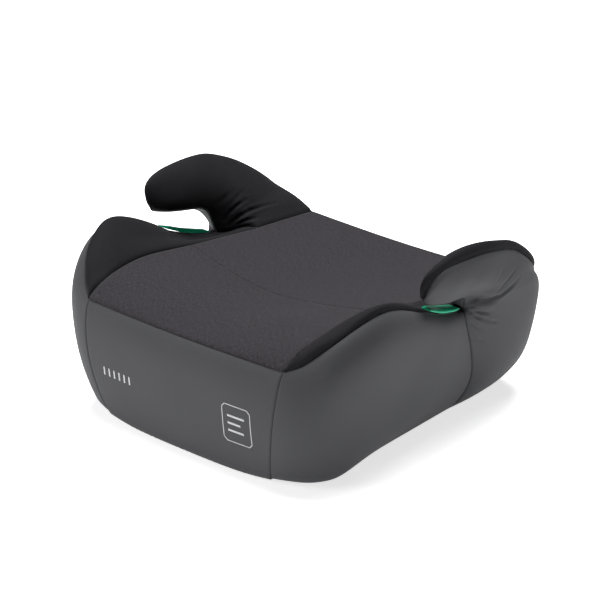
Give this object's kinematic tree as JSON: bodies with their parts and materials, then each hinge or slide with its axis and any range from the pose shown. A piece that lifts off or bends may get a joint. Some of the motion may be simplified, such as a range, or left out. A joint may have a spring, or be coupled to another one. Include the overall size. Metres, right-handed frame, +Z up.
{
  "type": "child booster seat",
  "caption": "Backless child car booster seat with a padded fabric cover, raised side bolsters and two armrests that hook over open belt slots with bright belt guides.",
  "frame": {"origin": "on the floor, under the middle of the seat", "axes": "+Z up, -Y towards the child's knees (front), +X towards the child's left"},
  "size_m": [0.4362, 0.3979, 0.2268],
  "materials": {
    "black_plastic": "fine moulded texture, near-black polypropylene",
    "core_foam": "moulded bead foam, pale grey",
    "foot_rubber": "matt black rubber",
    "screw_steel": "zinc-plated",
    "green_plastic": "bright green moulded plastic, satin gloss",
    "pad_foam": "cream flexible foam",
    "seat_knit": "charcoal knit with a fine heather rib",
    "black_fabric": "black woven fabric, matt",
    "grey_fabric": "smooth mid-grey laminated fabric, soft sheen",
    "hem_band": "black elastic band"
  },
  "bodies": {
    "root": {"base_tray": "black_plastic", "core_block": "core_foam", "seat_deck": "black_plastic", "rubber_foot_front_left": "foot_rubber", "rubber_foot_front_right": "foot_rubber", "rubber_foot_rear_left": "foot_rubber", "rubber_foot_rear_right": "foot_rubber", "base_screw_front_left": "screw_steel", "base_screw_front_right": "screw_steel", "base_screw_rear_left": "screw_steel", "base_screw_rear_right": "screw_steel", "armrest_screw_left_front": "screw_steel", "armrest_screw_left_rear": "screw_steel", "armrest_screw_right_front": "screw_steel", "armrest_screw_right_rear": "screw_steel", "armrest_frame_left": "black_plastic", "armrest_frame_right": "black_plastic", "belt_guide_left": "green_plastic", "belt_guide_right": "green_plastic", "seat_foam": "pad_foam", "bolster_foam_left": "pad_foam", "bolster_foam_right": "pad_foam", "front_foam": "pad_foam", "rear_foam": "pad_foam", "side_foam_left": "pad_foam", "side_foam_right": "pad_foam", "rear_side_foam_left": "pad_foam", "rear_side_foam_right": "pad_foam", "armrest_foam_left": "pad_foam", "armrest_foam_right": "pad_foam", "seat_cover_front": "seat_knit", "seat_cover_rear": "seat_knit", "bolster_cover_left": "black_fabric", "bolster_cover_right": "black_fabric", "armrest_cover_left": "black_fabric", "armrest_cover_right": "black_fabric", "front_cover": "grey_fabric", "side_cover_left": "grey_fabric", "side_cover_right": "grey_fabric", "rear_side_cover_left": "grey_fabric", "rear_side_cover_right": "grey_fabric", "rear_cover": "grey_fabric", "slot_lining_left": "grey_fabric", "slot_lining_right": "grey_fabric", "hem_elastic": "hem_band"}
  },
  "joints": []
}
